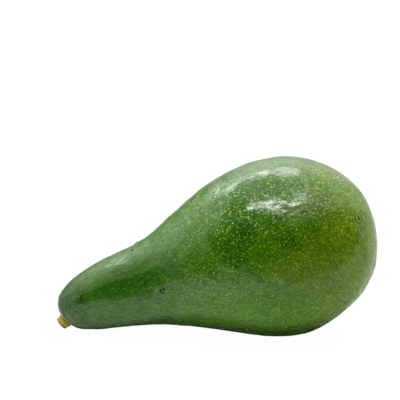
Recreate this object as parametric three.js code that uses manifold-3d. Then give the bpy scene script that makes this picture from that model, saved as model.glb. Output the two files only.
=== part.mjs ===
// A whole avocado lying on its side, with the cut stump of its stalk.
// Millimetres, +Z up. +X runs from the stalk end to the blossom end, and the fruit rests on Z = 0.
import * as THREE from 'three';
import { mergeVertices } from 'three/addons/utils/BufferGeometryUtils.js';
import Module from 'manifold-3d';

const { degToRad } = THREE.MathUtils;

// The body is a row of round sections square to a bent centre line. The angle PHI runs from 0 at the stalk end
// to 180 degrees at the blossom end, and a section's distance along X is CENTRE_RUN * (1 - cos PHI) / 2.
const STALK_END_X = -72.25;
const CENTRE_RUN = 147;
// Heights of the centre line at nine stations evenly spaced in PHI.
const CENTRE_HEIGHTS = [3, 9, 17.5, 23.5, 33.5, 42, 46, 48.5, 49.5];
// Fullness at the same stations. A section's radius is fullness * sin PHI, which rounds off both ends.
const FULLNESS = [45, 27.5, 22.5, 21, 34.5, 47, 51, 54, 67.5];
const BODY_ROWS = 56;
const BODY_SIDES = 72;

// Low natural swellings of the skin: their height, the waves round the fruit and along it, and where they start.
const SWELLINGS = [
  { height: 0.16, round: 3, along: 5, start: 0.6 },
  { height: 0.12, round: 5, along: -7, start: 2.1 },
  { height: 0.1, round: 7, along: 3, start: 4.4 },
];

// Stump of the stalk. It leaves the fruit just below the end of the centre line, and points down and outwards.
// Heights are counted along the stalk, from the skin of the fruit.
const STALK_DROP = 1.4;
const STALK_SLOPE = degToRad(41);
const ROOT_RADIUS = 3.3;
const ROOT_DEPTH = 1.2;
const COLLAR_RADIUS = 3.75;
const COLLAR_HEIGHT = 0.4;
const WAIST_RADIUS = 3.4;
const WAIST_HEIGHT = 1.4;
const TIP_RADIUS = 3.2;
const TIP_ROUNDING = 0.25;
const STALK_LENGTH = 2.9;
const PITH_RADIUS = 1.3;
const PITH_DEPTH = 0.3;
const STALK_SIDES = 32;
const SIDE_STEPS = 10;
// How far the stalk is squeezed out of round, as a share of its radius, and which way its flat sides face.
const STALK_SQUEEZE = 0.035;
const SQUEEZE_TURN = 0.5;

// Clearance between the stalk and its seat in the fruit.
const SEAT_GAP = 0.3;

// Scar of the flower, a low round button near the blossom end.
const SCAR_PHI = degToRad(152.5);
const SCAR_THETA = degToRad(30);
const SCAR_RADIUS = 1.3;
const SCAR_HEIGHT = 0.35;
const SCAR_SIDES = 16;
const SCAR_RINGS = 10;

const skin = new THREE.MeshStandardMaterial({ color: 0x5f7d35, roughness: 0.3, metalness: 0 });
const bark = new THREE.MeshStandardMaterial({ color: 0x96802a, roughness: 0.75, metalness: 0 });

const UP = new THREE.Vector3(0, 1, 0);
const UNIT_SCALE = new THREE.Vector3(1, 1, 1);

const wasm = await Module();
wasm.setup();

/** The bell-shaped weight of a uniform cubic B-spline, at a distance counted in stations. */
function bell(distance) {
  const near = (4 - 6 * distance ** 2 + 3 * distance ** 3) / 6;
  const far = Math.max(2 - distance, 0) ** 3 / 6;
  return distance < 1 ? near : far;
}

/** Uniform cubic B-spline of evenly spaced values, mirrored past both ends so that it starts and ends level. */
function spline(values, phi) {
  const last = values.length - 1;
  const station = (phi / Math.PI) * last;
  let total = 0;
  for (let k = -1; k <= last + 1; k += 1) {
    const mirrored = k > last ? 2 * last - k : Math.abs(k);
    total += values[mirrored] * bell(Math.abs(station - k));
  }
  return total;
}

/** Point of the centre line in the XZ plane, at a fraction of its run. */
function centrePoint(fraction) {
  const phi = Math.acos(1 - 2 * fraction);
  return new THREE.Vector2(STALK_END_X + CENTRE_RUN * fraction, spline(CENTRE_HEIGHTS, phi));
}

/** Direction of the centre line, from two close points that stay on it. */
function centreDirection(fraction) {
  const step = 1e-4;
  const before = centrePoint(Math.max(fraction - step, 0));
  const after = centrePoint(Math.min(fraction + step, 1));
  return after.sub(before).normalize();
}

/** Height of the swellings over the plain section. They fade out towards both ends. */
function swelling(phi, theta) {
  let total = 0;
  for (const { height, round, along, start } of SWELLINGS) {
    total += height * Math.cos(round * theta + along * phi + start);
  }
  return total * Math.sin(phi) ** 2;
}

/** Point of the skin. THETA turns from the -Y side over the top, and the underside is flat where it rests. */
function skinPoint(phi, theta) {
  const fraction = (1 - Math.cos(phi)) / 2;
  const centre = centrePoint(fraction);
  const direction = centreDirection(fraction);
  const radius = Math.sin(phi) * spline(FULLNESS, phi) + swelling(phi, theta);
  const rise = radius * Math.sin(theta);
  const x = centre.x - rise * direction.y;
  const z = centre.y + rise * direction.x;
  return new THREE.Vector3(x, -radius * Math.cos(theta), Math.max(z, 0));
}

/** Direction straight out of the skin, from two short steps along it. */
function skinNormal(phi, theta) {
  const step = 1e-3;
  const point = skinPoint(phi, theta);
  const along = skinPoint(phi + step, theta).sub(point);
  const round = skinPoint(phi, theta + step).sub(point);
  return along.cross(round).normalize();
}

/** The whole body as one closed skin: a pole at each end, and rings of quads between them, each split in two. */
function makeBody() {
  const points = [skinPoint(0, 0)];
  for (let row = 1; row < BODY_ROWS; row += 1) {
    for (let side = 0; side < BODY_SIDES; side += 1) {
      points.push(skinPoint((Math.PI * row) / BODY_ROWS, (2 * Math.PI * side) / BODY_SIDES));
    }
  }
  points.push(skinPoint(Math.PI, 0));
  const corner = (row, side) => 1 + (row - 1) * BODY_SIDES + (side % BODY_SIDES);
  const lastRow = BODY_ROWS - 1;
  const endPole = points.length - 1;
  const triangles = [];
  for (let side = 0; side < BODY_SIDES; side += 1) {
    triangles.push(0, corner(1, side), corner(1, side + 1));
    for (let row = 1; row < lastRow; row += 1) {
      triangles.push(corner(row, side), corner(row + 1, side), corner(row + 1, side + 1));
      triangles.push(corner(row, side), corner(row + 1, side + 1), corner(row, side + 1));
    }
    triangles.push(endPole, corner(lastRow, side + 1), corner(lastRow, side));
  }
  const geometry = new THREE.BufferGeometry().setFromPoints(points);
  return geometry.setIndex(triangles);
}

/** Places what is made along +Y at a point, with +Y turned to a direction. */
function placement(point, direction) {
  const turn = new THREE.Quaternion().setFromUnitVectors(UP, direction);
  return new THREE.Matrix4().compose(point, turn, UNIT_SCALE);
}

/** Where the stalk leaves the fruit: on the underside of the stalk end, a small way round from its pole. */
function stalkPlacement() {
  const base = skinPoint(STALK_DROP / FULLNESS[0], -Math.PI / 2);
  const outwards = new THREE.Vector3(-Math.cos(STALK_SLOPE), 0, -Math.sin(STALK_SLOPE));
  return placement(base, outwards);
}

/** The stump: a root, a flared collar, a waist, and a cut end with a rounded rim round its sunken pith. */
function makeStalk() {
  const side = new THREE.SplineCurve([
    new THREE.Vector2(ROOT_RADIUS, -ROOT_DEPTH),
    new THREE.Vector2(COLLAR_RADIUS, COLLAR_HEIGHT),
    new THREE.Vector2(WAIST_RADIUS, WAIST_HEIGHT),
    new THREE.Vector2(TIP_RADIUS, STALK_LENGTH - TIP_ROUNDING),
  ]);
  const outline = [
    new THREE.Vector2(0, -ROOT_DEPTH),
    ...side.getPoints(SIDE_STEPS),
    new THREE.Vector2(TIP_RADIUS - TIP_ROUNDING, STALK_LENGTH),
    new THREE.Vector2(PITH_RADIUS, STALK_LENGTH),
    new THREE.Vector2(0, STALK_LENGTH - PITH_DEPTH),
  ];
  return squeezed(closed(new THREE.LatheGeometry(outline, STALK_SIDES)));
}

/** A turned piece squeezed a little out of round, more on one side, as a grown stalk is. */
function squeezed(geometry) {
  const position = geometry.getAttribute('position');
  for (let i = 0; i < position.count; i += 1) {
    const turn = Math.atan2(position.getZ(i), position.getX(i)) + SQUEEZE_TURN;
    const scale = 1 - STALK_SQUEEZE * (1 + Math.cos(2 * turn) * Math.cos(turn));
    position.setX(i, position.getX(i) * scale);
    position.setZ(i, position.getZ(i) * scale);
  }
  return geometry;
}

/** What is cut out of the fruit for the root of the stalk: a tapered plug, wider by the clearance all round. */
function makeSeatCutter() {
  const depth = ROOT_DEPTH + SEAT_GAP;
  return new THREE.CylinderGeometry(COLLAR_RADIUS + SEAT_GAP, ROOT_RADIUS + SEAT_GAP, 2 * depth, STALK_SIDES);
}

/** The button left by the flower, a flattened ball half sunk in the skin. */
function makeScar() {
  const scar = new THREE.SphereGeometry(1, SCAR_SIDES, SCAR_RINGS);
  scar.scale(SCAR_RADIUS, SCAR_HEIGHT, SCAR_RADIUS);
  return scar.applyMatrix4(placement(skinPoint(SCAR_PHI, SCAR_THETA), skinNormal(SCAR_PHI, SCAR_THETA)));
}

/** A geometry with only positions, and with the corners that meet joined. */
function closed(geometry) {
  geometry.deleteAttribute('normal');
  geometry.deleteAttribute('uv');
  return mergeVertices(geometry);
}

/** A solid that can be joined and cut, from a closed geometry. */
function toSolid(geometry) {
  const { index, attributes } = closed(geometry);
  const vertProperties = new Float32Array(attributes.position.array);
  const triVerts = new Uint32Array(index.array);
  return new wasm.Manifold(new wasm.Mesh({ numProp: 3, vertProperties, triVerts }));
}

/** A geometry from a solid. */
function toGeometry(solid) {
  const { vertProperties, triVerts } = solid.getMesh();
  const geometry = new THREE.BufferGeometry();
  geometry.setAttribute('position', new THREE.BufferAttribute(vertProperties, 3));
  return geometry.setIndex(new THREE.BufferAttribute(triVerts, 1));
}

/** The fruit: its body with the scar joined on and the seat of the stalk cut out. */
function makeFruit() {
  const seat = toSolid(makeSeatCutter().applyMatrix4(stalkPlacement()));
  const body = toSolid(makeBody());
  return toGeometry(body.add(toSolid(makeScar())).subtract(seat));
}

/** A named mesh with smooth shading. */
function makePiece(name, geometry, material) {
  geometry.computeVertexNormals();
  const piece = new THREE.Mesh(geometry, material);
  piece.name = name;
  return piece;
}

const fruit = makePiece('fruit_body', makeFruit(), skin);
const stalk = makePiece('stalk_stub', makeStalk(), bark);
stalk.applyMatrix4(stalkPlacement());

const avocado = new THREE.Group();
avocado.add(fruit, stalk);

export default avocado;
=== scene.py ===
"""A whole green avocado with a long neck, lying on its side with the cut stump of its stalk.

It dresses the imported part. +X runs from the stalk end to the blossom end, +Z is up, and the fruit rests on Z = 0.
Shapes are worked out in millimetres and turned to metres when a mesh is filled.
"""

import math
from itertools import product
from types import SimpleNamespace

import bpy
import numpy as np
from bpy.props import FloatProperty, FloatVectorProperty, PointerProperty
from mathutils import Matrix, Vector


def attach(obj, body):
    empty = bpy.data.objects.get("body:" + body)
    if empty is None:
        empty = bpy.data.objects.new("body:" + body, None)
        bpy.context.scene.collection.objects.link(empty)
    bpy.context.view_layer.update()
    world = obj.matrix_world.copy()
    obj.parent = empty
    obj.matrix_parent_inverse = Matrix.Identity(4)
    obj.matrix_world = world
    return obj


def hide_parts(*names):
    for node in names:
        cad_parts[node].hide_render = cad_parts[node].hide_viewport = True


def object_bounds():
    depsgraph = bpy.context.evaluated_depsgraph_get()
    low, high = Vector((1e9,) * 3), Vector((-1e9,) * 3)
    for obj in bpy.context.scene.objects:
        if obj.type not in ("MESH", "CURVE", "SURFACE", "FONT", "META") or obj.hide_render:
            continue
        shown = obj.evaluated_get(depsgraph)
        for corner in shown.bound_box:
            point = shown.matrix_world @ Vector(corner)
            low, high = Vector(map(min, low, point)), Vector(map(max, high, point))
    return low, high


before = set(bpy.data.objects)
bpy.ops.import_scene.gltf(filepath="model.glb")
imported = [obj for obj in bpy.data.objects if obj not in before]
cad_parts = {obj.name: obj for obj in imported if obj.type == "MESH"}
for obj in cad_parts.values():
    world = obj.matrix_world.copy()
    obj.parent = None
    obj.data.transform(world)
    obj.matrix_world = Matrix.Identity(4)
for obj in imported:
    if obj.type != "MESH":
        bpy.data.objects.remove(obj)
CAD_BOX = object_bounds()

bl_info = {
    "name": "Whole Avocado",
    "version": (1, 0, 0),
    "blender": (4, 5, 0),
    "location": "3D View > Sidebar > Avocado",
    "description": "Gives a packed avocado its skin, its stalk and a plain studio stage",
    "category": "Add Mesh",
}

MM = 0.001
WHITE = (1, 1, 1, 1)

# The body in mm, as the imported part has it. Phi runs from 0 at the stalk end to pi at the blossom end.
STALK_END_X = -72.25
CENTRE_RUN = 147
CENTRE_HEIGHTS = (3, 9, 17.5, 23.5, 33.5, 42, 46, 48.5, 49.5)
FULLNESS = (45, 27.5, 22.5, 21, 34.5, 47, 51, 54, 67.5)
# Low waves of the sections: (height, waves around, waves along, start).
SECTION_WAVES = ((0.16, 3, 5, 0.6), (0.12, 5, -7, 2.1), (0.1, 7, 3, 4.4))
CENTRE_STEP, NORMAL_STEP, POLE_MARGIN = 1e-4, 1e-3, 2e-3

# Pace of the straightened neck, where it grows to 1, and the steps that add it up.
NECK_PACE = 0.5
PACE_SPAN = (0.25, 0.7)
PACE_STEPS = 400

# The flower scar, a low button in a sunken ring: (phi, theta) in degrees, and lengths in mm.
FLOWER_SCAR = (152.5, 30)
RING_RADIUS = 2.1
BUTTON_RISE = (0.08, 1.2)
RING_DIP = (0.12, 0.5)

# Grid of the skin, and where it crowds: (centre, width, extra density) in radians.
SKIN_ROWS = SKIN_SIDES = 314
ROW_CROWDS = ((0, 0.13, 4), (math.radians(FLOWER_SCAR[0]), 0.05, 2.2))
SIDE_CROWDS = ((math.radians(FLOWER_SCAR[1]), 0.09, 1.2),)
CROWD_STEPS = 6000

# Noise: corners along a side of its lattice before it repeats, and its gain.
LATTICE = 32
NOISE_GAIN = 1.6

# Relief of the skin in mm. Levels are where a noise starts to cut into the skin.
FINE_LUMP_SIZE = 5.5
LUMP_LEVEL = 0.6
LUMP_SEEDS = (11, 12)
FINE_PEBBLE_SHARE = 0.55
PEBBLE_LEVEL = 1.2
PEBBLE_SEEDS = (21, 22)
CREASE_STRETCH = (0.25, 1, 1)
CREASE_SIZE = 2.2
CREASE_DEPTH = 0.05
CREASE_LEVEL = 0.7
CREASE_SEED = 31

# The skin round the stalk in mm: its reach along X, and rings as (depth, distance from the stalk's axis, width).
STALK_REACH = 12
CALM_RING = (3.5, 3)
SUNKEN_RING = (0.85, 4.2, 2.4)
STALK_GROOVE = (0.2, 3.8, 0.6)
CREVICE_RING = (3.4, 3)

# Warts, swellings and a hollow: (phi, theta) in degrees, a height and a radius in mm.
SWELLINGS = ((63.3, 93, 0.75, 1.3), (65.5, 90, 0.45, 1.5), (70, 200, 0.4, 1.4),
             (90, 78, 0.55, 17), (131, 85, -0.4, 15), (141, 318, 0.4, 15))

# Rise of the skin in mm that makes up for its relief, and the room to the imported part's box that it needs.
SKIN_LIFT = 0.15
LIFT_ROOM = (0.2, 1.6)

# The stalk stump in mm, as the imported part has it. Heights are counted outwards from the skin.
STALK_DROP = 1.4
STALK_SLOPE = math.radians(41)
ROOT_DEPTH = 2.2
STALK_LENGTH = 2.9
TIP_ROUNDING = 0.25
STALK_SIDE = ((3.3, -2.2), (3.75, -0.2), (3.4, 1.4), (3.2, 2.65))
STALK_SQUEEZE = 0.035
SQUEEZE_TURN = 0.5
BARK_INSET = 0.01

# Grid of the stump, and the radii in mm of its first and last rings.
STALK_TURNS = 160
SIDE_ROWS = 44
TIP_ROWS = 6
FACE_ROWS = 26
ROOT_ROWS = 5
FACE_HOLE = 0.12
ROOT_HOLE = 0.4

# Relief of the stump: sizes and heights in mm, and seeds of its noises.
RIDGE_SIZES = (0.9, 0.45)
RIDGE_SEEDS = (41, 42)
RIDGE_RADIUS = 3.3
DENT_SIZE = 1.6
DENT_SEED = 43
DENT_STRETCH = (1, 3, 1)
RIDGE_STRETCH = 0.35
FIBRE_STRETCH = 0.3
RIDGED_FROM = (1.5, 3)
PITH_DIP = (0.28, 1.25)
PITH_DEPTH = 0.38
FACE_RIPPLE = (0.05, 7)
FACE_ROUGHNESS = (0.1, 0.9)
FACE_SEED = 44
FACE_START = (0.69, 0.76)

# How a mark ends: the stir of its edge, and where it starts to show and is full, as shares of its radius.
SPOT = (1.4, 1.9, 1.1)
BLUSH = (0.4, 1.3, 0.2)
# Marks on the skin: what stirs their edges, how they end, and (phi, theta) in degrees and a radius in mm for each.
MARKS = {
    "specks": ("wobble", SPOT, (
        (61.4, 75.4, 0.42), (70.5, 66.9, 0.33), (71.4, 66.6, 0.28), (68.8, 67.6, 0.22), (71.1, 55, 0.22),
        (69.4, 2.8, 0.42), (69.8, 0.3, 0.4), (70.9, 2.6, 0.42), (96, 236, 0.45), (118, 150, 0.4),
        (55, 170, 0.35), (130, 262, 0.4), (153.2, 30.2, 0.5), (152.9, 33, 0.3))),
    "scars": ("wobble", SPOT, ((108.9, 26.4, 0.75), (124, 205, 1.2), (84, 128, 0.8))),
    "olive": ("wide", BLUSH, (
        (111.7, 0.5, 11), (123.4, 359.5, 14), (139.2, 17.9, 12), (123.7, 31.5, 8), (142, 345, 12),
        (133, 55, 9), (137, 72, 8), (143, 50, 8), (119.5, 352, 9),
        (128, 200, 16), (105, 165, 12), (140, 250, 14))),
    "deep": ("wide", BLUSH, (
        (103, 26, 8), (98, 21, 9), (99, 12, 8), (118, 17, 6), (100, 190, 12),
        (125, 130, 9))),
    "rust": ("small", BLUSH, ((127.5, 77.8, 3.5), (139.2, 86, 6.5), (140.5, 26.4, 1.6), (135, 214, 4))),
}

# Greens at shares of the run from the stalk end. A name stands for a colour of the settings.
SKIN_RUN = ((0, (0.001, 0.022, 0.001)), (0.12, (0.02, 0.1, 0.003)), (0.25, "neck_colour"),
            (0.44, (0.042, 0.15, 0.002)), (0.62, "belly_colour"), (0.8, (0.095, 0.24, 0.001)),
            (0.95, "blossom_colour"))

# What is laid over those greens, before and after the dots: a mask, its share, and a linear colour. Some of them
# are painted light: light on the lower side, shade on the top, a sheen on the neck, shade low down and a contact
# shadow.
GREEN_LAYERS = (
    ("wide", 0.3, (0.05, 0.17, 0.003)),
    # Painted light: a lighter, yellower green on the lower side.
    ("underside", 1, (0.135, 0.23, 0.003)),
    # Painted shade: a darker green along the top.
    ("crest", 1, (0.03, 0.11, 0.001)),
    ("shoulder", 0.2, (0.2, 0.36, 0.03)),
    ("deep", 0.85, (0.004, 0.064, 0.001)),
    ("olive", 0.72, (0.175, 0.32, 0.001)),
    ("shade", 1, (0.009, 0.08, 0.001)),
    ("grain", 0.45, (0.014, 0.088, 0.001)),
    ("flecks", 1, (0.1, 0.26, 0.003)),
)
MARK_AND_PAINTED_LIGHT_LAYERS = (
    ("rust", 0.35, (0.3, 0.19, 0.04)),
    # Painted sheen: a paler, greyer band on the neck's upper side.
    ("bloom", 0.15, (0.24, 0.38, 0.13)),
    ("scars", 0.35, "scar_colour"),
    ("specks", 0.9, "speck_colour"),
    ("ring", 1, (0.012, 0.03, 0.004)),
    # Painted shade that darkens towards the floor, and a painted contact shadow where the fruit rests on it.
    ("low_down", 1, (0.015, 0.07, 0.001)),
    ("at_contact", 1, (0.004, 0.02, 0.001)),
    ("pale_lip", 1, (0.34, 0.35, 0.13)),
    ("olive_lip", 1, (0.3, 0.3, 0.05)),
    ("brown_lip", 1, (0.06, 0.05, 0.01)),
)
NECK_FAINT_DOT, BLOSSOM_FAINT_DOT = (0.15, 0.32, 0.008), (0.42, 0.56, 0.025)
LOWER_DUST, UPPER_DUST = (0.3, 0.44, 0.14), (0.15, 0.34, 0.008)
BLOSSOM_DOT, UPPER_DOT = (0.52, 0.7, 0.025), (0.58, 0.74, 0.2)
BARK_LAYERS = (("fibre", 0.4, (0.3, 0.19, 0.012)), ("cloud", 0.4, (0.3, 0.26, 0.03)))

# Smooth steps, as (start, end) and, where they aren't 0 and 1, the two values. They go by the share of the run, by
# the height over the centre line or the floor in metres, and by closeness to the stalk.
SKIN_STEPS = {
    "run": {
        "shoulder_start": (0.3, 0.42), "shoulder_end": (0.6, 0.48), "flecks_along": (0.1, 0.55, 0.16, 0.42),
        "dots_along": (0.24, 0.61, 0.2, 1), "dust_along": (0.2, 0.6, 0.4, 1), "blossom": (0.6, 0.9),
        # The band of painted sheen on the neck starts and ends along the run here.
        "upper_along": (0.4, 0.6), "bloom_start": (0.01, 0.07), "bloom_end": (0.42, 0.28),
        "matt_along": (0.55, 0.2), "even_end": (0.88, 0.97, 0, 0.6)},
    "side": {
        # The first two steps here paint light on the lower side and shade on the top.
        "underside": (0.006, -0.006, 0, 0.28), "crest": (0.026, 0.04, 0, 0.42),
        "shoulder_up": (0.004, 0.018), "shade_up": (-0.006, 0.006, 0.25, 0.5),
        "dots_up": (-0.012, 0.004, 0.62, 1), "sparse_top": (0.032, 0.041, 1, 0.4),
        "dust_up": (-0.002, 0.01), "less_dust_up": (-0.002, 0.01, 0.6, 0.4), "upper_up": (0.012, 0.028),
        "matt_up": (0.003, 0.012, 0.25, 1), "even_top": (0.03, 0.041, 0, 0.6)},
    # Painted shade low on the fruit and a painted contact shadow just above the floor.
    "height": {"low_down": (0.019, 0.004, 0, 0.55), "at_contact": (0.003, 0.0005, 0, 0.7)},
    "crevice": {
        "pale_lip": (0.02, 0.3, 0, 0.85), "olive_lip": (0.7, 0.95, 0, 0.8), "brown_lip": (0.9, 1, 0, 0.4),
        "lip_rub": (0.1, 1, 0, 0.7)},
}

# Patterns of the skin: scales of clouds, their shift of the greens, stretches along the fruit, and even wax.
WIDE_CLOUDS, SMALL_CLOUDS = 55, 210
RUN_STIR = 0.12
GRAIN_STRETCH, RELIEF_STRETCH, WAX_STRETCH = (0.2, 1, 1), (0.4, 1, 1), (0.75, 1, 1)
EVEN_WAX = 0.45

# Dots: how closely each kind is set, its least reach and its range of reach in cells. Then how dots end, their
# strength by luck, and their stir in metres.
DOT_KINDS = {"faint": (0.85, 0.26, 0.26), "dust": (1.5, 0.22, 0.24), "dots": (1, 0.2, 0.25)}
DOT_EDGE = 0.14
DOT_STRENGTH = (0, 0.8, 0.25, 1)
DOT_STIR = 0.0007

SKIN_ROUGHNESS, SKIN_SPECULAR, SKIN_IOR = 0.17, 0.31, 1.45
BARK_ROUGHNESS, BARK_SPECULAR, BARK_STIR = 0.62, 0.25, 0.07

# The band of painted sheen and duller finish on the neck ends at a slanting line: its slope, the stir of it and its
# softness, in metres.
SHEEN_SLOPE, SHEEN_STIR = -0.57, -0.001
SHEEN_EDGE = (-0.0009, 0.0007)

# Bark colours along the stump's profile, from the root to the middle of the cut.
BARK_RUN = ((0, "collar_colour"), (0.45, "collar_colour"), (0.51, "bark_colour"), (0.615, "bark_colour"),
            (0.64, "rim_colour"), (0.67, "cut_colour"), (0.76, "cut_colour"), (0.82, "pith_colour"),
            (0.94, "cut_colour"), (1, "pith_colour"))

# Lamps that only shine in the skin: (name, centre, width, depth, share of their brightness, turn in degrees).
# Overlapping ones differ in height, so as not to take light from each other.
STRIP_LAMPS = (
    ("back_strip", (-0.42, 0.84, 1.2), 1.4, 0.5, 0.24, -8),
    ("back_left", (-0.9, 0.95, 1.19), 0.38, 0.56, 0.5, -4),
    ("back_middle", (-0.36, 0.86, 1.19), 0.34, 0.36, 0.62, -8),
    ("back_right", (0.05, 0.76, 1.19), 0.32, 0.34, 0.43, -8),
    ("front_strip", (-0.29, -0.455, 1.2), 1.08, 0.14, 2.5, 0),
    ("bent_strip", (0.31, -0.33, 1.19), 0.12, 0.38, 1.6, -25),
    ("end_strip", (0.38, 0.22, 1.18), 0.16, 0.7, 0.12, 13),
)
# Lamps that light the fruit and don't shine in it. The one without a turn is aimed at the fruit.
SOFT_LAMPS = (("soft_top", (0, 0.05, 1.6), 2.4, 2, 1.3, 0),
              ("left_fill", (-1.1, 0.35, 0.75), 1, 1, 1.7, None))

# The room, a tent that is brighter overhead, with round glows and a shade: azimuth and elevation in degrees, the
# closeness at which each starts and is full, and its strength.
TENT = (0, 0.8, 0.6, 1.3)
GLOWS = ((-165, 45, 0.8, 1, 0.75), (-122, 24, 0.9, 0.98, 0.4), (-104, 31, 0.95, 0.995, 0.3))
SHADE = (-148, 6, 0.9, 0.98, 0.4)
# The dark opening in front of the fruit, in degrees.
OPENING_LEFT, OPENING_LEFT_LEAN, OPENING_LEFT_EDGE = 58.5, 0.65, (-5, 5)
OPENING_RIGHT, OPENING_RIGHT_EDGE = 98, (-14, 6)
OPENING_TOP, OPENING_BEND, OPENING_BEND_FROM = (58, 52), 0.5, 50
OPENING_SHARE = 0.99

# The floor as the skin sees it, in metres. It is lit behind a line in front of the fruit that turns at its right
# end, and mirrored brighter to the left and away from the fruit.
LIT_FLOOR = (-0.125, -0.092)
FLOOR_TURN_X, FLOOR_TURN = 0.04, -0.3
MIRROR_EDGE_ALONG = (-0.04, 0, -0.009, -0.025)
MIRROR_EDGE = (0.004, -0.004, 0.08, 1)
MIRROR_FRONT = (-0.048, -0.032, 1, 1.4)
MIRROR_GLOW = (0.055, -0.06, 0.07, 0.45)
LIGHT_FRONT = (-0.01, -0.07, 0.15, 0.55)
LIGHT_ALONG = (-0.01, 0.05, 1, 0.55)
BOUNCE, MIRRORED_BOUNCE = 0.9, 0.4
FAR_BOUNCE = 0.1
SHOWN_WHITE, SHOWN_GREY, SHOWN_SHARE = 1.03, 0.9, 0.05


# ---- settings

def colour_setting(name, description, default):
    """A linear colour that the user can change."""
    return FloatVectorProperty(name=name, description=description, subtype="COLOR", size=3, min=0, max=1,
                               default=default)


def number_setting(name, description, default, **kind):
    """A number that the user can change."""
    return FloatProperty(name=name, description=description, default=default, **{"min": 0, **kind})


def length_setting(name, description, default):
    """A length in metres that the user can change."""
    return number_setting(name, description, default, unit="LENGTH", precision=5)


class AvocadoSkinSettings(bpy.types.PropertyGroup):
    """Relief and colours of the skin."""

    inset: length_setting("Inset", "Depth of the skin in the packed body", 0.05 * MM)
    lump_depth: length_setting("Lump depth", "Depth of the low dents", 0.28 * MM)
    lump_size: length_setting("Lump size", "Distance between the low dents", 9 * MM)
    pebble_depth: length_setting("Pebble depth", "Depth of the pebbles", 0.15 * MM)
    pebble_size: length_setting("Pebble size", "Distance between pebbles", 2.5 * MM)
    dot_spacing: length_setting("Dot spacing", "Size of the cells that each hold a dot", 0.9 * MM)
    neck_colour: colour_setting("Neck", "Green of the neck", (0.003, 0.074, 0.001))
    belly_colour: colour_setting("Belly", "Green of the widest part", (0.038, 0.180, 0.001))
    blossom_colour: colour_setting("Blossom end", "Green of the blossom end", (0.22, 0.38, 0.002))
    dot_colour: colour_setting("Dots", "Yellow-green of the dots", (0.32, 0.54, 0.015))
    scar_colour: colour_setting("Scars", "Brown of healed rubs", (0.20, 0.15, 0.05))
    speck_colour: colour_setting("Specks", "Near black of the specks", (0.004, 0.022, 0.003))


class AvocadoStalkSettings(bpy.types.PropertyGroup):
    """Relief and colours of the stalk stump."""

    ridge_depth: length_setting("Ridge depth", "Depth of the bark's ridges", 0.16 * MM)
    collar_colour: colour_setting("Collar", "Grey olive of the bark at the fruit", (0.28, 0.27, 0.04))
    bark_colour: colour_setting("Bark", "Mustard of the bark", (0.52, 0.39, 0.03))
    rim_colour: colour_setting("Rim", "Pale straw just under the cut", (0.60, 0.48, 0.10))
    cut_colour: colour_setting("Cut edge", "Brown of the dried cut", (0.13, 0.10, 0.045))
    pith_colour: colour_setting("Pith", "Straw of the pith", (0.50, 0.38, 0.11))


class AvocadoStageSettings(bpy.types.PropertyGroup):
    """Camera, lamps and floor."""

    lens: number_setting("Lens", "Focal length in millimetres", 135, min=20)
    distance: length_setting("Distance", "From the camera to its aim", 0.698)
    azimuth: number_setting("Azimuth", "Turn of the camera round the fruit", math.radians(2), min=-math.pi,
                            subtype="ANGLE")
    elevation: number_setting("Elevation", "Camera's angle above the floor", math.radians(13), subtype="ANGLE")
    aim: FloatVectorProperty(name="Aim", description="Point that the camera looks at", subtype="TRANSLATION",
                             default=(-0.00745, 0, 0.0633))
    lamp_radiance: number_setting("Strip lamp brightness", "Radiance that the strip lamps share", 8)
    soft_radiance: number_setting("Soft lamp brightness", "Radiance that the soft lamps share", 1)
    floor_size: length_setting("Floor size", "Side of the square floor", 6)


# ---- shape of the body

def smooth_step(value, start, end):
    """0 up to start, 1 from end on, and 3t^2 - 2t^3 between them."""
    t = np.clip((value - start) / (end - start), 0, 1)
    return t * t * (3 - 2 * t)


def bump_curve(distance, width):
    """Gaussian bump: exp(-(distance / width)^2)."""
    return np.exp(-((distance / width) ** 2))


def spline(values, phi):
    """Uniform cubic B-spline of evenly spaced values, mirrored past both ends so that it starts and ends level.

    A value weighs (4 - 6d^2 + 3d^3) / 6 at a distance d within one station, and (2 - d)^3 / 6 within two.
    """
    last = len(values) - 1
    station = phi / np.pi * last
    total = np.zeros_like(station)
    for k in range(-1, last + 2):
        mirrored = 2 * last - k if k > last else abs(k)
        off = np.abs(station - k)
        weight = np.where(off < 1, (4 - 6 * off**2 + 3 * off**3) / 6, np.maximum(2 - off, 0) ** 3 / 6)
        total += values[mirrored] * weight
    return total


def run_share(phi):
    """Share of the centre line's run at phi: (1 - cos phi) / 2."""
    return (1 - np.cos(phi)) / 2


def centre_point(share):
    """X and Z of the bent centre line at a share of its run."""
    return STALK_END_X + CENTRE_RUN * share, spline(CENTRE_HEIGHTS, np.arccos(1 - 2 * share))


def centre_direction(share):
    """Unit direction of the centre line, from two close points of it."""
    x0, z0 = centre_point(np.clip(share - CENTRE_STEP, 0, 1))
    x1, z1 = centre_point(np.clip(share + CENTRE_STEP, 0, 1))
    length = np.hypot(x1 - x0, z1 - z0)
    return (x1 - x0) / length, (z1 - z0) / length


def section_radius(phi, theta):
    """Radius of a section: sin phi times the fullness, plus low waves that fade out towards both ends."""
    waves = sum(height * np.cos(around * theta + along * phi + start)
                for height, around, along, start in SECTION_WAVES)
    return np.sin(phi) * spline(FULLNESS, phi) + waves * np.sin(phi) ** 2


def body_points(phi, theta):
    """Points of the body: sections square to the centre line. Theta turns from -Y over the top."""
    phi, theta = np.broadcast_arrays(phi, theta)
    centre_x, centre_z = centre_point(run_share(phi))
    along_x, along_z = centre_direction(run_share(phi))
    radius = section_radius(phi, theta)
    rise = radius * np.sin(theta)
    return np.stack([centre_x - rise * along_z, -radius * np.cos(theta), centre_z + rise * along_x], -1)


def body_place(phi, theta):
    """One point of the body, from angles in degrees."""
    return body_points(np.array(math.radians(phi)), np.array(math.radians(theta)))


def lengths(vectors):
    """Length of each vector."""
    return np.linalg.norm(vectors, axis=-1)


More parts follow.
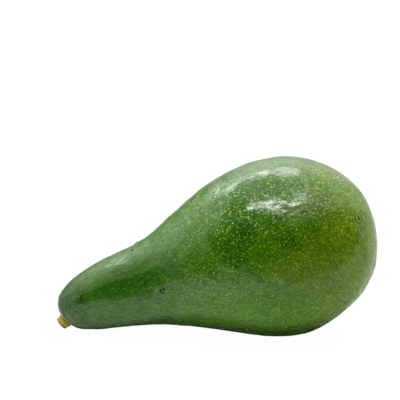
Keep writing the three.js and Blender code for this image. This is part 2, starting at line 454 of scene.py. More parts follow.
def unit(vectors):
    """Vectors divided by their length."""
    return vectors / np.maximum(np.linalg.norm(vectors, axis=-1, keepdims=True), 1e-12)


def body_normals(phi, theta):
    """Directions out of the body: the cross product of small steps along it and round it."""
    inner = np.clip(phi, POLE_MARGIN, np.pi - POLE_MARGIN)
    along = body_points(inner + NORMAL_STEP, theta) - body_points(inner - NORMAL_STEP, theta)
    around = body_points(inner, theta + NORMAL_STEP) - body_points(inner, theta - NORMAL_STEP)
    return unit(np.cross(along, around))


def straightened(phi, theta):
    """The body's place in mm as if it were straight, with a shorter neck, where spots then come out long."""
    fine = np.linspace(0, 1, PACE_STEPS)
    pace = NECK_PACE + (1 - NECK_PACE) * smooth_step(fine, *PACE_SPAN)
    run = np.concatenate([[0], np.cumsum((pace[1:] + pace[:-1]) / 2)]) / (PACE_STEPS - 1) * CENTRE_RUN
    phi, theta = np.broadcast_arrays(phi, theta)
    radius = section_radius(phi, theta)
    along = np.interp(run_share(phi), fine, run)
    return np.stack([along, radius * np.cos(theta), radius * np.sin(theta)], -1)


def gradient_noise(points, size, seed):
    """Smooth noise in space, about -1 to 1.

    A random unit vector stands at each corner of a cube lattice. Its dot product with the offset from its corner
    is blended between the corners with 6t^5 - 15t^4 + 10t^3 on each axis.
    """
    slopes = unit(np.random.default_rng(seed).normal(size=(LATTICE,) * 3 + (3,)))
    cell = points / size
    base = np.floor(cell).astype(int)
    offset = cell - base
    fade = offset**3 * (offset * (offset * 6 - 15) + 10)
    total = np.zeros(points.shape[:-1])
    for corner in product((0, 1), repeat=3):
        slope = slopes[tuple(np.moveaxis((base + corner) % LATTICE, -1, 0))]
        weight = np.prod(np.where(corner, fade, 1 - fade), axis=-1)
        total += weight * np.sum(slope * (offset - corner), axis=-1)
    return total * NOISE_GAIN


def crowded(count, span, crowds):
    """Parameters from 0 to span, closer where the crowds add Gaussian density."""
    fine = np.linspace(0, span, CROWD_STEPS)
    density = 1 + sum(extra * bump_curve(fine - place, width) for place, width, extra in crowds)
    share = np.concatenate([[0], np.cumsum((density[1:] + density[:-1]) / 2)])
    return np.interp(np.linspace(0, share[-1], count), share, fine)


def stalk_frame():
    """Matrix in mm that sets what is made along +Y where the stalk leaves the skin."""
    base = body_points(np.array(STALK_DROP / FULLNESS[0]), np.array(-np.pi / 2))
    outwards = Vector((-math.cos(STALK_SLOPE), 0, -math.sin(STALK_SLOPE)))
    turn = Vector((0, 1, 0)).rotation_difference(outwards)
    return Matrix.LocRotScale(Vector(base.tolist()), turn, None)


def off_stalk_axis(points):
    """Distance of points from the stalk's axis: the length of offset x axis."""
    placed = np.array(stalk_frame())
    return lengths(np.cross(points - placed[:3, 3], placed[:3, 1]))


def at_stalk_end(points):
    """True for points of the fruit's stalk end."""
    return points[..., 0] < STALK_END_X + STALK_REACH


def skin_texture(points, place, phi, calm, settings):
    """Fine relief in mm: dents and pebbles, as noises cut off above a level, and creases along the neck.

    Calm, from 0 to 1, holds dents and pebbles back.
    """
    lumps = gradient_noise(points, settings.lump_size / MM, LUMP_SEEDS[0])
    lumps = lumps + 0.5 * gradient_noise(points, FINE_LUMP_SIZE, LUMP_SEEDS[1])
    pebbles = 1 - 2 * np.abs(gradient_noise(place, settings.pebble_size / MM, PEBBLE_SEEDS[0]))
    fine_size = settings.pebble_size / MM * FINE_PEBBLE_SHARE
    pebbles = pebbles + 0.6 * gradient_noise(place, fine_size, PEBBLE_SEEDS[1])
    creases = gradient_noise(place * CREASE_STRETCH, CREASE_SIZE, CREASE_SEED)
    creases = creases * smooth_step(phi, 0.1, 0.4) * smooth_step(-phi, -1.7, -0.9)
    height = settings.lump_depth / MM * np.minimum(lumps - LUMP_LEVEL, 0) * (1 - calm)
    height = height + settings.pebble_depth / MM * np.minimum(pebbles - PEBBLE_LEVEL, 0) * 0.5 * (1 - 0.8 * calm)
    return height + CREASE_DEPTH * (creases - CREASE_LEVEL)


def skin_relief(phi, theta, settings):
    """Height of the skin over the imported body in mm.

    Fine relief, and Gaussian bumps for the ring and groove round the stalk, the swellings and the flower scar. It
    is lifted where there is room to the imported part's box.
    """
    points, place = body_points(phi, theta), straightened(phi, theta)
    near_stalk, stalk_end = off_stalk_axis(points), at_stalk_end(points)
    calm = stalk_end * bump_curve(np.maximum(near_stalk - CALM_RING[0], 0), CALM_RING[1])
    height = skin_texture(points, place, phi, calm, settings) - settings.inset / MM
    depth, reach, width = SUNKEN_RING
    sunken = -depth * bump_curve(np.maximum(near_stalk - reach, 0), width)
    depth, reach, width = STALK_GROOVE
    height = height + (sunken - depth * bump_curve(near_stalk - reach, width)) * stalk_end
    for at_phi, at_theta, rise, radius in SWELLINGS:
        away = lengths(points - body_place(at_phi, at_theta))
        height = height + rise * bump_curve(away, radius)
    away = lengths(points - body_place(*FLOWER_SCAR))
    button = BUTTON_RISE[0] * bump_curve(away, BUTTON_RISE[1])
    ring = RING_DIP[0] * bump_curve(away - RING_RADIUS - 0.3, RING_DIP[1])
    low, high = (np.array(corner) / MM for corner in CAD_BOX)
    room = np.minimum(points - low, high - points).min(-1)
    return height + button - ring + SKIN_LIFT * smooth_step(room, *LIFT_ROOM)


# ---- meshes

def lattice_faces(rows, sides):
    """Corner numbers of a closed mesh: a pole, quads between rings, and a pole."""
    ring = np.arange(sides)
    after = (ring + 1) % sides
    start = 1 + np.arange(rows - 1)[:, None] * sides
    quads = np.stack([start + ring, start + sides + ring, start + sides + after, start + after], -1)
    end = 1 + rows * sides
    first = np.stack([np.zeros(sides, int), 1 + ring, 1 + after], -1)
    last = np.stack([np.full(sides, end), end - sides + after, end - sides + ring], -1)
    return first, quads.reshape(-1, 4), last


def fill_mesh(name, rings, poles, attributes):
    """Smooth closed mesh from rings of points in mm between two poles. Attributes are (rings, first, last)."""
    points = np.concatenate([[poles[0]], rings.reshape(-1, 3), [poles[1]]]) * MM
    first, quads, last = lattice_faces(*rings.shape[:2])
    mesh = bpy.data.meshes.new(name)
    mesh.from_pydata(points.tolist(), [], first.tolist() + quads.tolist() + last.tolist())
    mesh.shade_smooth()
    for key, (values, start, end) in attributes.items():
        kind, slot = ("FLOAT_VECTOR", "vector") if values.ndim == 3 else ("FLOAT", "value")
        flat = np.concatenate([np.ravel(start), values.ravel(), np.ravel(end)])
        mesh.attributes.new(key, kind, "POINT").data.foreach_set(slot, flat.astype(np.float32))
    unroll(mesh, rings, poles)
    return mesh


def unroll(mesh, rings, poles):
    """Lays the skin out flat: across by the turn, and up by the mean length from the first pole."""
    sides = rings.shape[1]
    middle = np.concatenate([[poles[0]], rings.mean(1), [poles[1]]])
    spread = lengths(rings - rings.mean(1, keepdims=True)).mean(1)
    spread = np.concatenate([[0], spread, [0]])
    length = np.hypot(lengths(np.diff(middle, axis=0)), np.diff(spread))
    up = np.concatenate([[0], np.cumsum(length)]) / length.sum()
    turn = np.arange(sides) / sides
    low, left = np.meshgrid(up[1:-2], turn, indexing="ij")
    high, right = np.meshgrid(up[2:-1], turn + 1 / sides, indexing="ij")
    quads = np.stack([np.stack(pair, -1) for pair in ((left, low), (left, high), (right, high), (right, low))], 2)
    before, after = turn, turn + 1 / sides
    first = cap_map(turn + 0.5 / sides, 0.0, before, after, up[1])
    last = cap_map(turn + 0.5 / sides, 1.0, after, before, up[-2])
    places = np.concatenate([first, quads.reshape(-1, 2), last])
    layer = mesh.uv_layers.new(name="OFBake", do_init=False)
    layer.uv.foreach_set("vector", places.astype(np.float32).ravel())


def cap_map(middle, pole, before, after, edge):
    """Map places of the triangles round a pole."""
    corners = ((middle, pole), (before, edge), (after, edge))
    return np.stack([np.stack([across, np.full(len(across), up)], -1) for across, up in corners], 1).reshape(-1, 2)


def add_object(name, data):
    """A new object in the scene."""
    thing = bpy.data.objects.new(name, data)
    bpy.context.scene.collection.objects.link(thing)
    return thing


def add_piece(name, mesh, material, node):
    """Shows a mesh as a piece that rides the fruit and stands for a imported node."""
    mesh.materials.append(material)
    piece = add_object(name, mesh)
    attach(piece, "root")
    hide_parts(node)


def skin_mesh(settings):
    """The skin: the body moved along its normals by the relief, and flat where it rests."""
    phi = crowded(SKIN_ROWS + 2, np.pi, ROW_CROWDS)
    theta = crowded(SKIN_SIDES + 1, 2 * np.pi, SIDE_CROWDS)[:-1]
    rows, turns = np.meshgrid(phi[1:-1], theta, indexing="ij")
    points = body_points(rows, turns) + body_normals(rows, turns) * skin_relief(rows, turns, settings)[..., None]
    points[..., 2] = np.maximum(points[..., 2], 0)
    poles, pole_places, pole_turn = [], [], np.array(0.0)
    for pole, outwards in ((np.array(0.0), -1), (np.array(np.pi), 1)):
        along_x, along_z = centre_direction(run_share(pole))
        step = outwards * skin_relief(pole, pole_turn, settings) * np.array([along_x, 0, along_z])
        poles.append(body_points(pole, pole_turn) + step)
        pole_places.append(straightened(pole, pole_turn) * MM)
    crevice = bump_curve(np.maximum(off_stalk_axis(points) - CREVICE_RING[0], 0), CREVICE_RING[1])
    attributes = {
        "place": (straightened(rows, turns) * MM, *pole_places),
        "run": (run_share(rows), 0.0, 1.0),
        "crevice": (crevice * at_stalk_end(points), 1.0, 0.0),
    }
    return fill_mesh("avocado_skin", points, poles, attributes)


def smooth_path(corners, count):
    """Points along a path through its corners, by the uniform Catmull-Rom formula."""
    corners = np.array(corners, float)
    padded = np.concatenate([corners[:1], corners, corners[-1:]])
    t = np.linspace(0, len(corners) - 1, count)
    k = np.minimum(t.astype(int), len(corners) - 2)
    t = (t - k)[:, None]
    a, b, c, d = (padded[k + n] for n in range(4))
    return 0.5 * (2 * b + (c - a) * t + (2 * a - 5 * b + 4 * c - d) * t**2 + (3 * b - a - 3 * c + d) * t**3)


def stalk_profile():
    """Radius and height along the stump, from the middle of its root to the middle of its cut.

    The rim is a quarter turn, and the cut is a cosine of the radius less a Gaussian bump at its pith.
    """
    root_radius = np.linspace(ROOT_HOLE, STALK_SIDE[0][0], ROOT_ROWS + 1)[:-1]
    root = np.stack([root_radius, np.full(ROOT_ROWS, -ROOT_DEPTH)], -1)
    tip_radius = STALK_SIDE[-1][0]
    quarter = np.linspace(0, np.pi / 2, TIP_ROWS + 1)[1:]
    rim = np.stack([tip_radius - TIP_ROUNDING * (1 - np.cos(quarter)),
                    STALK_LENGTH - TIP_ROUNDING * (1 - np.sin(quarter))], -1)
    face_radius = np.linspace(tip_radius - TIP_ROUNDING, FACE_HOLE, FACE_ROWS)[1:]
    ripple = FACE_RIPPLE[0] * (np.cos(face_radius * FACE_RIPPLE[1]) - 1)
    dip = PITH_DIP[0] * bump_curve(face_radius, PITH_DIP[1])
    face = np.stack([face_radius, STALK_LENGTH + ripple - dip], -1)
    return np.concatenate([root, smooth_path(STALK_SIDE, SIDE_ROWS), rim, face])


def around_axis(radius, height, turn):
    """Points at a radius, a height along +Y and a turn round it."""
    return np.stack([radius * np.cos(turn), height, radius * np.sin(turn)], -1)


def stalk_mesh(settings):
    """The stump: its profile turned round its axis and squeezed.

    The absolute value of noise cuts ridges into its side, noise above zero cuts dents, and noise roughens its cut.
    """
    profile = stalk_profile()
    length = np.concatenate([[0], np.cumsum(lengths(np.diff(profile, axis=0)))])
    theta = np.linspace(0, 2 * np.pi, STALK_TURNS, endpoint=False)
    radius, turn = np.meshgrid(profile[:, 0], theta, indexing="ij")
    height = np.broadcast_to(profile[:, 1:], radius.shape)
    reach = np.broadcast_to(length[:, None] / length[-1], radius.shape)
    squeeze = 1 - STALK_SQUEEZE * (1 + np.cos(2 * (turn + SQUEEZE_TURN)) * np.cos(turn + SQUEEZE_TURN))
    ring = around_axis(RIDGE_RADIUS, height * RIDGE_STRETCH, turn)
    broad, fine = (np.abs(gradient_noise(ring, size, seed)) for size, seed in zip(RIDGE_SIZES, RIDGE_SEEDS))
    dents = np.maximum(gradient_noise(ring * DENT_STRETCH, DENT_SIZE, DENT_SEED), 0)
    cut = settings.ridge_depth / MM * (broad + 0.5 * fine + 0.8 * dents) * smooth_step(radius, *RIDGED_FROM)
    shape = radius * squeeze - cut - BARK_INSET
    depth, size = FACE_ROUGHNESS
    rough = depth * (gradient_noise(around_axis(shape, 0 * turn, turn), size, FACE_SEED) - 1)
    raised = height + np.minimum(rough, 0) * smooth_step(reach, *FACE_START)
    placed = np.array(stalk_frame())
    poles = np.array([[0, -ROOT_DEPTH, 0], [0, STALK_LENGTH - PITH_DEPTH, 0]], float)
    points, poles = (part @ placed[:3, :3].T + placed[:3, 3] for part in (around_axis(shape, raised, turn), poles))
    attributes = {
        "rise": (reach, 0.0, 1.0),
        "grain_place": (around_axis(shape, height * FIBRE_STRETCH, turn) * MM,
                        (0, -ROOT_DEPTH * MM, 0), (0, STALK_LENGTH * FIBRE_STRETCH * MM, 0)),
    }
    return fill_mesh("avocado_stalk", points, poles, attributes)


# ---- node helpers

def add_node(kind, values, tree=None, **settings):
    """Adds a shader node in the tree of what links to it, and fills or links its inputs."""
    tree = tree or next(value.id_data for value in values.values() if isinstance(value, bpy.types.NodeSocket))
    node = tree.nodes.new("ShaderNode" + kind)
    for key, value in settings.items():
        setattr(node, key, value)
    for key, value in values.items():
        if isinstance(value, bpy.types.NodeSocket):
            tree.links.new(value, node.inputs[key])
        else:
            node.inputs[key].default_value = value
    return node


def math_of(operation, *values):
    """Output of a Math node."""
    return add_node("Math", dict(enumerate(values)), operation=operation).outputs[0]


def times(value, *others):
    """Product of values."""
    for other in others:
        value = math_of("MULTIPLY", value, other)
    return value


def times_plus(first, second, third):
    """One value times another, plus a third."""
    return math_of("MULTIPLY_ADD", first, second, third)


def vector_of(operation, *values):
    """Output of a Vector Math node."""
    node = add_node("VectorMath", dict(enumerate(values)), operation=operation)
    return node.outputs["Value" if operation in ("DOT_PRODUCT", "DISTANCE") else "Vector"]


def axes_of(vector):
    """X, Y and Z of a vector."""
    return add_node("SeparateXYZ", {"Vector": vector}).outputs


def object_place(tree):
    """Place on the object, in metres."""
    return add_node("TexCoord", {}, tree).outputs["Object"]


def noise_of(place, scale, detail, output="Fac"):
    """Output of a Noise Texture node."""
    return add_node("TexNoise", {"Vector": place, "Scale": scale, "Detail": detail}).outputs[output]


def attribute(tree, name, output="Fac"):
    """Output of a mesh attribute."""
    return add_node("Attribute", {}, tree, attribute_name=name).outputs[output]


def ramp(value, start, end, low=0, high=1):
    """Smooth step of a value from one pair of numbers to another."""
    values = {"Value": value, "From Min": start, "From Max": end, "To Min": low, "To Max": high}
    return add_node("MapRange", values, interpolation_type="SMOOTHSTEP").outputs["Result"]


def mix_colour(factor, first, second):
    """Colour between two colours."""
    ends = (end if isinstance(end, bpy.types.NodeSocket) else (*end, 1) for end in (first, second))
    return add_node("Mix", {0: factor, **dict(zip((6, 7), ends))}, data_type="RGBA").outputs[2]


def chosen(colour, settings):
    """A colour, or the one that the settings have under its name."""
    return getattr(settings, colour) if isinstance(colour, str) else colour


def lay_over(colour, masks, layers, settings):
    """A colour with others laid over it, each given as (name of its mask, share, colour)."""
    for name, share, over in layers:
        mask = getattr(masks, name)
        colour = mix_colour(mask if share == 1 else times(mask, share), colour, chosen(over, settings))
    return colour


def colour_ramp(value, stops, settings):
    """Colour from a row of (place, colour) stops."""
    node = add_node("ValToRGB", {"Fac": value})
    elements = node.color_ramp.elements
    while len(elements) < len(stops):
        elements.new(0.5)
    for element, (place, colour) in zip(elements, stops):
        element.position = place
        element.color = (*chosen(colour, settings), 1)
    node.color_ramp.interpolation = "EASE"
    return node.outputs["Color"]


def patches_of(given):
    """Noise with its contrast raised, as a mask from 0 to 1."""
    noise = noise_of(given["Place"], given["Scale"], given["Detail"])
    ends = (math_of(kind, given["Middle"], given["Softness"]) for kind in ("SUBTRACT", "ADD"))
    return ramp(noise, *ends)


def relief_of(given):
    """Normal of a height that two sizes of noise and an extra height add up to."""
    broad = noise_of(given["Place"], given["Scale"], 1)
    fine = noise_of(given["Place"], times(given["Scale"], 2.6), 1)
    height = math_of("ADD", times_plus(fine, 0.35, broad), given["Extra"])
    values = {"Strength": given["Strength"], "Distance": given["Depth"], "Height": height}
    return add_node("Bump", values).outputs[0]


def from_group(name, build, output, kind, place, **numbers):
    """Output of a node group, which is built when it is first asked for."""
    group = bpy.data.node_groups.get(name)
    if group is None:
        group = bpy.data.node_groups.new(name, "ShaderNodeTree")
        group.interface.new_socket("Place", in_out="INPUT", socket_type="NodeSocketVector")
        for key in numbers:
            group.interface.new_socket(key, in_out="INPUT", socket_type="NodeSocketFloat")
        group.interface.new_socket(output, in_out="OUTPUT", socket_type=kind)
        result = build(group.nodes.new("NodeGroupInput").outputs)
        group.links.new(result, group.nodes.new("NodeGroupOutput").inputs[output])
    return add_node("Group", {"Place": place, **numbers}, node_tree=group).outputs[output]


def cloudy(place, scale, detail=2, middle=0.5, softness=0.2):
    """Mask of cloudy patches."""
    return from_group("Cloudy Patches", patches_of, "Mask", "NodeSocketFloat", place,
                      Scale=scale, Detail=detail, Middle=middle, Softness=softness)


def fine_normal(place, scale, strength, depth, extra=0):
    """Normal of fine relief."""
    return from_group("Fine Relief", relief_of, "Normal", "NodeSocketVector", place,
                      Scale=scale, Strength=strength, Depth=depth, Extra=extra)


def new_material(name):
    """A material with its nodes cleared, its tree, and its output."""
    material = bpy.data.materials.new(name)
    material.use_nodes = True
    tree = material.node_tree
    tree.nodes.clear()
    return material, tree, tree.nodes.new("ShaderNodeOutputMaterial").inputs["Surface"]


# ---- materials

def marks_of(place, rows, stir, ending):
    """Mask of round marks with stirred edges, each given as (phi, theta, radius) on the body."""
    unevenness, start, full = ending
    total = None
    for phi, theta, radius in rows:
        away = vector_of("DISTANCE", place, tuple((body_place(phi, theta) * MM).tolist()))
        away = times_plus(stir, radius * MM * unevenness, away)
        mask = ramp(away, radius * MM * start, radius * MM * full)
        total = mask if total is None else math_of("MAXIMUM", total, mask)
    return total


def pale_dots(place, scale, least, range_of_reach):
    """Mask of uneven dots: one at most in each cell of a Voronoi pattern in space."""
    cells = add_node("TexVoronoi", {"Vector": place, "Scale": scale}, feature="F1")
    luck = add_node("SeparateColor", {"Color": cells.outputs["Color"]}).outputs
    inside = math_of("SUBTRACT", times_plus(luck[0], range_of_reach, least), cells.outputs["Distance"])
    return times(ramp(inside, 0, DOT_EDGE), ramp(luck[1], *DOT_STRENGTH))


def skin_masks(tree, settings):
    """What the skin's colour and finish go by: places, clouds, smooth steps, marks and dots."""
    at = SimpleNamespace(place=object_place(tree), along=attribute(tree, "place", "Vector"),
                         run=attribute(tree, "run"), crevice=attribute(tree, "crevice"))
    _, at.front, at.side = axes_of(at.along)
    at.x, _, at.height = axes_of(at.place)
    for field, steps in SKIN_STEPS.items():
        for name, step in steps.items():
            setattr(at, name, ramp(getattr(at, field), *step))
    at.wide = cloudy(at.place, WIDE_CLOUDS, middle=0.52)
    at.small = cloudy(at.place, SMALL_CLOUDS, detail=3)
    at.wobble = math_of("SUBTRACT", noise_of(at.place, 900, 2), 0.5)
    for name, (stir, ending, rows) in MARKS.items():
        setattr(at, name, marks_of(at.place, rows, getattr(at, stir), ending))
    drawn = vector_of("MULTIPLY", at.along, GRAIN_STRETCH)
    at.grain = cloudy(drawn, 900)
    at.flecks = times(cloudy(drawn, 1150, detail=1, middle=0.6, softness=0.15), at.flecks_along)
    at.shoulder = times(at.shoulder_start, at.shoulder_end, at.shoulder_up)
    at.shade = times(at.small, at.shade_up)
    at.upper = times(at.upper_along, at.upper_up)
    at.matt = times(at.matt_along, at.matt_up)
    at.ring, at.bloom = scar_ring(at), bloom_of(at)

    stir = noise_of(at.along, 1500, 0, "Color")
    uneven = vector_of("MULTIPLY_ADD", stir, (DOT_STIR,) * 3, at.along)
    for name, (closeness, *reach) in DOT_KINDS.items():
        setattr(at, name, pale_dots(uneven, closeness / settings.dot_spacing, *reach))
    plenty = times(at.dots_along, at.dots_up, at.sparse_top)
    at.faint, at.dots = times(plenty, 0.5, at.faint), times(at.dots, plenty)
    at.dust = times(at.dust_along, at.less_dust_up, at.sparse_top, at.dust)
    return at


def bloom_of(at):
    """Mask of a band on the neck above a slanting line: a painted sheen that makes it paler, and a duller finish.

    Its edge takes no clouds from the group, because it also feeds the specular level.
    """
    edge = ramp(noise_of(at.place, SMALL_CLOUDS, 3), 0.3, 0.7)
    over = times_plus(at.front, SHEEN_SLOPE, times_plus(edge, SHEEN_STIR, at.side))
    return times(at.bloom_end, at.bloom_start, ramp(over, *SHEEN_EDGE))


def scar_ring(at):
    """Mask of the ring of the flower scar, stronger towards the blossom end."""
    centre = body_place(*FLOWER_SCAR) * MM
    away = vector_of("DISTANCE", at.place, tuple(centre.tolist()))
    off_ring = math_of("ABSOLUTE", math_of("SUBTRACT", away, (RING_RADIUS + 0.1) * MM))
    far_side = ramp(at.x, centre[0].item(), (centre[0] + 1.2 * MM).item(), 0.02, 0.7)
    return times(ramp(off_ring, 0.9 * MM, 0.2 * MM), far_side)


def skin_green(settings, at):
    """Colour of the skin: greens and what lies over them, with painted light below and painted shade on top, then
    the dots, then the marks with a painted sheen, painted shade low down and a painted contact shadow.
    """
    shifted = times_plus(at.wide, RUN_STIR, math_of("SUBTRACT", at.run, RUN_STIR / 2))
    green = lay_over(colour_ramp(shifted, SKIN_RUN, settings), at, GREEN_LAYERS, settings)
    dot_green = mix_colour(at.blossom, settings.dot_colour, BLOSSOM_DOT)
    green = lay_over(green, at, (
        ("faint", 1, mix_colour(at.blossom, NECK_FAINT_DOT, BLOSSOM_FAINT_DOT)),
        ("dust", 1, mix_colour(at.dust_up, LOWER_DUST, UPPER_DUST)),
        ("dots", 1, mix_colour(at.upper, dot_green, UPPER_DOT)),
    ), settings)
    return lay_over(green, at, MARK_AND_PAINTED_LIGHT_LAYERS, settings)


def wax_coat(at, rubbed):
    """Weight of the wax: fine mottling, evener at the top and the blossom end, thin where matt or rubbed."""
    waxed = cloudy(vector_of("MULTIPLY", at.along, WAX_STRETCH), 850, detail=3, softness=0.13)
    even = math_of("MAXIMUM", at.even_top, at.even_end)
    waxed = times_plus(math_of("SUBTRACT", EVEN_WAX, waxed), even, waxed)
    return times_plus(rubbed, -0.5, times(waxed, times_plus(at.matt, -0.35, 0.85)))


def skin_material(settings):
    """Waxy green skin, duller on the neck, on the band of painted sheen, at the stalk's lip and on marks."""
    material, tree, surface = new_material("avocado_skin")
    at = skin_masks(tree, settings)
    rubbed = times_plus(at.scars, 0.3, math_of("MAXIMUM", at.lip_rub, at.specks))
    rough = times_plus(at.small, 0.06, times_plus(at.matt, 0.14, SKIN_ROUGHNESS))
    rough = times_plus(at.dots, 0.1, times_plus(rubbed, 0.3, rough))
    shine = times_plus(at.specks, -0.3, times_plus(at.bloom, -0.14, SKIN_SPECULAR))
    streaked = vector_of("MULTIPLY", at.along, RELIEF_STRETCH)
    shader = add_node("BsdfPrincipled", {
        "Base Color": skin_green(settings, at), "Roughness": rough, "IOR": SKIN_IOR,
        "Specular IOR Level": times_plus(at.matt, 0.09, shine),
        "Normal": fine_normal(streaked, 640, 0.42, 0.2 * MM, times(at.dots, 0.12)),
        "Coat Weight": wax_coat(at, rubbed), "Coat Roughness": SKIN_ROUGHNESS, "Coat IOR": SKIN_IOR})
    tree.links.new(shader.outputs[0], surface)
    return material


def bark_material(settings):
    """Dry bark of the stump, with its cut."""
    material, tree, surface = new_material("stalk_bark")
    grain = attribute(tree, "grain_place", "Vector")
    at = SimpleNamespace(cloud=cloudy(object_place(tree), 700, detail=3),
                         fibre=cloudy(grain, 1300, detail=3))
    shifted = times_plus(math_of("SUBTRACT", at.cloud, 0.5), BARK_STIR, attribute(tree, "rise"))
    bark = lay_over(colour_ramp(shifted, BARK_RUN, settings), at, BARK_LAYERS, settings)
    shader = add_node("BsdfPrincipled", {
        "Base Color": bark, "Roughness": times_plus(at.fibre, 0.15, BARK_ROUGHNESS),
        "Specular IOR Level": BARK_SPECULAR, "Normal": fine_normal(grain, 1500, 0.7, 0.15 * MM)})
    tree.links.new(shader.outputs[0], surface)
    return material


# ---- stage

def direction(azimuth, elevation):
    """Unit vector at an azimuth, counted from -Y towards +X, and an elevation, in radians."""
    return Vector((math.sin(azimuth) * math.cos(elevation), -math.cos(azimuth) * math.cos(elevation),
                   math.sin(elevation)))


def add_camera(settings):
    """The camera, aimed at the fruit."""
    camera = add_object("camera", bpy.data.cameras.new("camera"))
    camera.data.lens = settings.lens
    back = direction(settings.azimuth, settings.elevation)
    camera.location = Vector(settings.aim) + back * settings.distance
    camera.rotation_euler = back.to_track_quat("Z", "Y").to_euler()
    bpy.context.scene.camera = camera


def add_lamps(lamps, radiance, mirrored):
    """Lamps, each of power radiance times pi times area. They are only mirrored, or give other light."""
    for name, centre, width, depth, share, turn in lamps:
        data = bpy.data.lights.new(name, "AREA")
        data.shape = "RECTANGLE"
        data.size, data.size_y = width, depth
        data.energy = radiance * share * math.pi * width * depth
        lamp = add_object(name, data)
        lamp.location = centre
        if turn is None:
            lamp.rotation_euler = Vector(centre).to_track_quat("Z", "Y").to_euler()
        else:
            lamp.rotation_euler.z = math.radians(turn)
        lamp.visible_camera = False
        lamp.visible_diffuse = not mirrored
        lamp.visible_glossy = mirrored


def choice(switch, off, on):
    """One number where a switch is 0, and another where it is 1."""
    return add_node("Mix", {0: switch, 2: off, 3: on}).outputs[0]


def floor_material():
    """Pale floor. The camera sees it nearly white, and for the skin it glows behind a slanting line."""
    material, tree, surface = new_material("pale_floor")
    x, y, _ = axes_of(object_place(tree))
    rays = add_node("LightPath", {}, tree).outputs
    past = math_of("MAXIMUM", math_of("SUBTRACT", x, FLOOR_TURN_X), 0)
    near = ramp(times_plus(past, FLOOR_TURN, y), *LIT_FLOOR)
    from_edge = math_of("SUBTRACT", y, ramp(x, *MIRROR_EDGE_ALONG))
    beside = times(ramp(from_edge, *MIRROR_EDGE), ramp(y, *MIRROR_FRONT))
    shine = times(ramp(x, *MIRROR_GLOW), beside)
    light = times(ramp(y, *LIGHT_FRONT), ramp(x, *LIGHT_ALONG))
    glow = times(near, choice(rays["Is Glossy Ray"], light, shine))
    glow = add_node("Emission", {"Strength": glow}).outputs[0]
    pale = choice(rays["Is Glossy Ray"], BOUNCE, MIRRORED_BOUNCE)
    pale = times(pale, times_plus(near, 1 - FAR_BOUNCE, FAR_BOUNCE))
    tone = add_node("CombineColor", {0: pale, 1: pale, 2: pale}).outputs[0]
    bounce = add_node("BsdfDiffuse", {"Color": tone}).outputs[0]
    lit = add_node("AddShader", {0: glow, 1: bounce}).outputs[0]
    white = add_node("Emission", {"Color": WHITE, "Strength": SHOWN_WHITE}, tree).outputs[0]
    grey = add_node("BsdfDiffuse", {"Color": (SHOWN_GREY,) * 3 + (1,)}, tree).outputs[0]
    shown = add_node("MixShader", {0: SHOWN_SHARE, 1: white, 2: grey}).outputs[0]
    shader = add_node("MixShader", {0: rays["Is Camera Ray"], 1: lit, 2: shown})
    tree.links.new(shader.outputs[0], surface)
    return material


def add_floor(settings):
    """The floor, a square at Z = 0."""
    half = settings.floor_size / 2
    mesh = bpy.data.meshes.new("floor")
    mesh.from_pydata([(-half, -half, 0), (half, -half, 0), (half, half, 0), (-half, half, 0)], [], [(0, 1, 2, 3)])
    mesh.materials.append(floor_material())
    add_object("floor", mesh)


def round_patch(towards, azimuth, elevation, start, full, low, high):
    """Smooth step over the dot product of a direction with one given in degrees."""
    centre = direction(math.radians(azimuth), math.radians(elevation))
    close = vector_of("DOT_PRODUCT", towards, tuple(centre))
    return ramp(close, start, full, low, high)


def opening_of(towards, height):
    """Mask of the dark opening, which leans at its left and bends down at its right."""
    x, y, _ = axes_of(towards)
    azimuth = math_of("ARCTAN2", x, times(y, -1))
    elevation = math_of("ARCSINE", height)
    from_left = math_of("ADD", azimuth, math.radians(OPENING_LEFT))
    from_left = times_plus(elevation, OPENING_LEFT_LEAN, from_left)
    from_right = math_of("SUBTRACT", math.radians(OPENING_RIGHT), azimuth)
    across = times(ramp(from_left, *map(math.radians, OPENING_LEFT_EDGE)),
                   ramp(from_right, *map(math.radians, OPENING_RIGHT_EDGE)))
    past = math_of("SUBTRACT", azimuth, math.radians(OPENING_BEND_FROM))
    bent = times_plus(math_of("MAXIMUM", past, 0), OPENING_BEND, elevation)
    return times(across, ramp(bent, *map(math.radians, OPENING_TOP)))


def set_world():
    """The room: white for the camera, and for light a pale tent with a dark opening."""
    world = bpy.data.worlds.new("room")
    world.use_nodes = True
    tree = world.node_tree
    tree.nodes.clear()
    towards = add_node("TexCoord", {}, tree).outputs["Generated"]
    height = axes_of(towards)["Z"]
    tent = ramp(height, *TENT)
    for azimuth, elevation, start, full, strength in GLOWS:
        glow = round_patch(towards, azimuth, elevation, start, full, 0, strength)
        tent = math_of("ADD", tent, glow)
    azimuth, elevation, start, full, strength = SHADE
    tent = times(tent, round_patch(towards, azimuth, elevation, start, full, 1, strength))
    light = times(tent, times_plus(opening_of(towards, height), -OPENING_SHARE, 1))
    by_camera = add_node("LightPath", {}, tree).outputs["Is Camera Ray"]
    room = add_node("Background", {"Color": WHITE, "Strength": light}).outputs[0]
    plain = add_node("Background", {"Color": WHITE, "Strength": 1}, tree).outputs[0]
    shader = add_node("MixShader", {0: by_camera, 1: room, 2: plain}).outputs[0]
    tree.links.new(shader, tree.nodes.new("ShaderNodeOutputWorld").inputs["Surface"])
    bpy.context.scene.world = world
    bpy.context.scene.view_settings.view_transform = "Standard"


# ---- operators

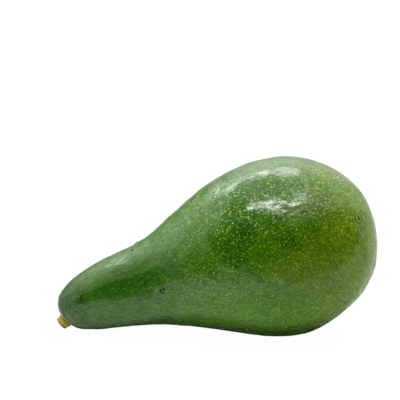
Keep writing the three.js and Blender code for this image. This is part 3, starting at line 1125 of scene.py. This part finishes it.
class AVOCADO_OT_fruit(bpy.types.Operator):
    """Make the fruit with its skin"""

    bl_idname = "avocado.fruit"
    bl_label = "Make Fruit"

    def execute(self, context):
        settings = context.scene.avocado_skin
        add_piece("avocado_fruit", skin_mesh(settings), skin_material(settings), "fruit_body")
        return {"FINISHED"}


class AVOCADO_OT_stalk(bpy.types.Operator):
    """Make the cut stump of the stalk"""

    bl_idname = "avocado.stalk"
    bl_label = "Make Stalk"

    def execute(self, context):
        settings = context.scene.avocado_stalk
        add_piece("avocado_stalk", stalk_mesh(settings), bark_material(settings), "stalk_stub")
        return {"FINISHED"}


class AVOCADO_OT_stage(bpy.types.Operator):
    """Make the floor, the lamps, the room and the camera"""

    bl_idname = "avocado.stage"
    bl_label = "Make Stage"

    def execute(self, context):
        settings = context.scene.avocado_stage
        add_floor(settings)
        add_lamps(STRIP_LAMPS, settings.lamp_radiance, mirrored=True)
        add_lamps(SOFT_LAMPS, settings.soft_radiance, mirrored=False)
        set_world()
        add_camera(settings)
        return {"FINISHED"}


class AVOCADO_PT_panel(bpy.types.Panel):
    """Lists the steps that make the avocado"""

    bl_idname = "AVOCADO_PT_panel"
    bl_label = "Avocado"
    bl_space_type = "VIEW_3D"
    bl_region_type = "UI"
    bl_category = "Avocado"

    def draw(self, context):
        for operator in OPERATORS:
            self.layout.operator(operator.bl_idname)


SETTINGS = {
    "avocado_skin": AvocadoSkinSettings,
    "avocado_stalk": AvocadoStalkSettings,
    "avocado_stage": AvocadoStageSettings,
}
OPERATORS = (AVOCADO_OT_fruit, AVOCADO_OT_stalk, AVOCADO_OT_stage)


def register():
    """Registers the settings, the operators and the panel."""
    for item in (*SETTINGS.values(), *OPERATORS, AVOCADO_PT_panel):
        bpy.utils.register_class(item)
    for name, group in SETTINGS.items():
        setattr(bpy.types.Scene, name, PointerProperty(type=group))


def unregister():
    """Takes out what register put in."""
    for name in SETTINGS:
        delattr(bpy.types.Scene, name)
    for item in (AVOCADO_PT_panel, *reversed(OPERATORS), *reversed(SETTINGS.values())):
        bpy.utils.unregister_class(item)


def main():
    """Makes everything."""
    register()
    bpy.ops.avocado.fruit()
    bpy.ops.avocado.stalk()
    bpy.ops.avocado.stage()


if __name__ == "__main__":
    main()
